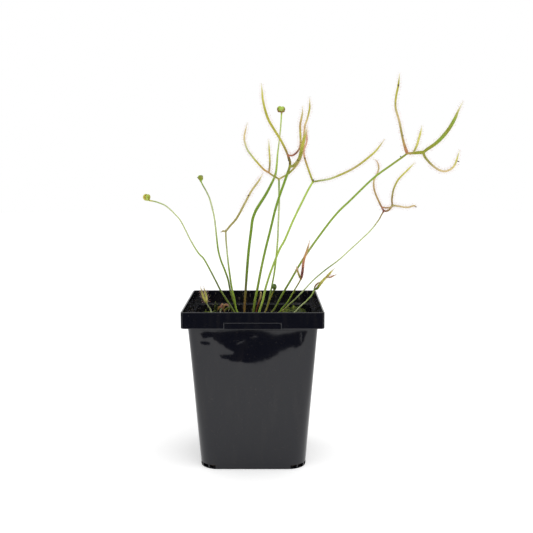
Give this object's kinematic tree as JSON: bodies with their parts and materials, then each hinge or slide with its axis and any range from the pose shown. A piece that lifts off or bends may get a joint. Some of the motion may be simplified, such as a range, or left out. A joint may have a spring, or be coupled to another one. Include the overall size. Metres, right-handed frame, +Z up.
{
  "type": "potted sundew",
  "caption": "Forked sundew with long thin stems and narrow gland haired arms, some leaf tips still coiled, growing in soil with moss in a square tapered black nursery pot",
  "frame": {"origin": "middle of the pot's flat underside, on the surface that the pot stands on", "axes": "+Z up along the pot's axis, +Y away from the viewer of the front, +X to the right of the front, where the leaves reach furthest"},
  "size_m": [0.2115, 0.0912, 0.2548],
  "materials": {
    "pot_black": "gloss",
    "soil_peat": "matte",
    "moss_green": "matte",
    "leaf_green": "satin",
    "leaf_dead": "matte"
  },
  "bodies": {
    "root": {"pot": "pot_black", "soil": "soil_peat", "moss_cushion": "moss_green", "moss_tuft": "moss_green", "leaf_coiled_far_left": "leaf_green", "leaf_coiled_left": "leaf_green", "leaf_curved_left": "leaf_green", "leaf_coiled_tall": "leaf_green", "leaf_forked_tall": "leaf_green", "leaf_forked_middle": "leaf_green", "leaf_forked_lime": "leaf_green", "leaf_forked_high_right": "leaf_green", "leaf_forked_low_right": "leaf_green", "leaf_small_pink": "leaf_green", "leaf_small_right": "leaf_green", "leaf_small_left": "leaf_green", "leaf_bud_middle": "leaf_green", "leaf_stub_dead": "leaf_dead", "leaf_withered": "leaf_dead"}
  },
  "joints": []
}
